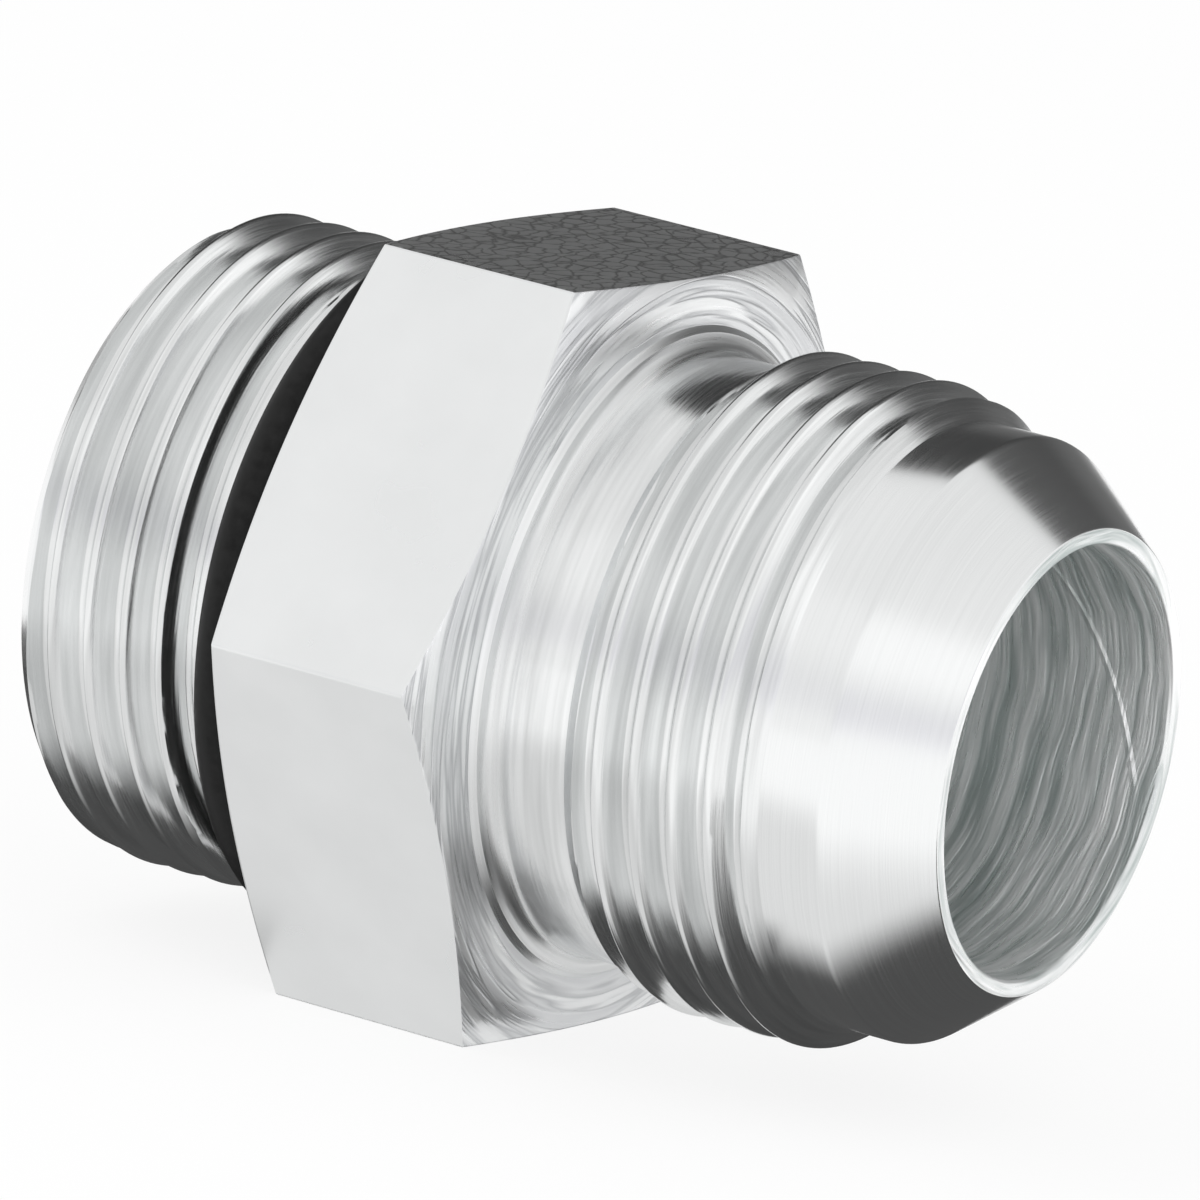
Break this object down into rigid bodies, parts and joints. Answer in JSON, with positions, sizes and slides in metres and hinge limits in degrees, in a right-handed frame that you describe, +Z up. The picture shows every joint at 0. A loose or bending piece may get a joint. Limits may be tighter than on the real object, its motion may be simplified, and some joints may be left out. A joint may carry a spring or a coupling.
{
  "type": "straight thread o-ring to 37 degree flare adapter fitting",
  "caption": "Straight hydraulic adapter: an O-ring boss stud, a wrench hexagon and a male 37 degree flare end on one through bore.",
  "frame": {"origin": "on the bore's axis, in the plane of the hexagon's shoulder on the port side", "axes": "+X along the bore towards the flare end, +Z up, square to the hexagon's top and bottom flats"},
  "size_m": [0.0505, 0.044, 0.0382],
  "materials": {
    "plated_steel": "bright zinc plated, turned",
    "black_rubber": "smooth moulded"
  },
  "bodies": {
    "root": {"fitting_body": "plated_steel", "o_ring": "black_rubber"}
  },
  "joints": []
}
